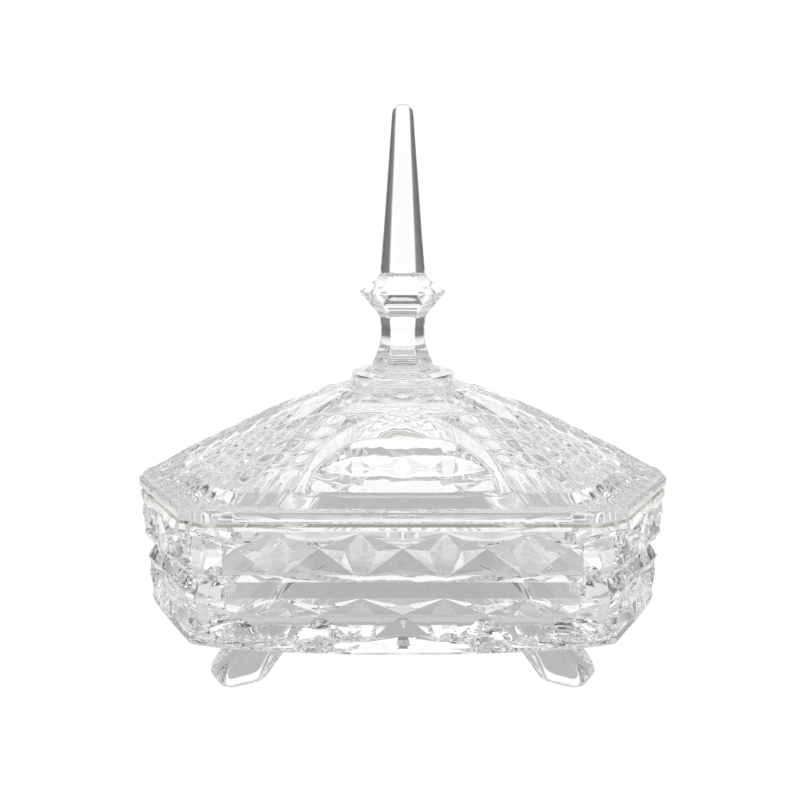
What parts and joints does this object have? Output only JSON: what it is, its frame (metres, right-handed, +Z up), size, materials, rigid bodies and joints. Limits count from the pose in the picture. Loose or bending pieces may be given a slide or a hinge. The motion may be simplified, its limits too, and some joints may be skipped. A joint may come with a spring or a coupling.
{
  "type": "lidded powder jar",
  "caption": "Clear pressed-glass powder jar on three splayed feet, with a faceted triangular bowl, a lift-off fluted lid and an obelisk finial.",
  "frame": {"origin": "on the table plane, below the middle of the whole outline; the finial's axis is 9.17 mm towards -Y from it", "axes": "+Z up, one long face of the plan looks along -Y, +X to that face's right when seen from the front"},
  "size_m": [0.141, 0.1256, 0.1544],
  "materials": {
    "clear_glass": "clear pressed lead crystal, fire polished",
    "clear_cement": "clear cured bonding film"
  },
  "bodies": {
    "base": {"bowl": "clear_glass", "foot_front_left": "clear_glass", "foot_front_right": "clear_glass", "foot_back": "clear_glass"},
    "lid": {"lid": "clear_glass", "finial_cement": "clear_cement", "finial": "clear_glass"}
  },
  "joints": [
    {"name": "lid_lift", "type": "slide", "parent": "base", "child": "lid", "axis": [0, 0, 1], "range_m": [0, 0.08]}
  ]
}
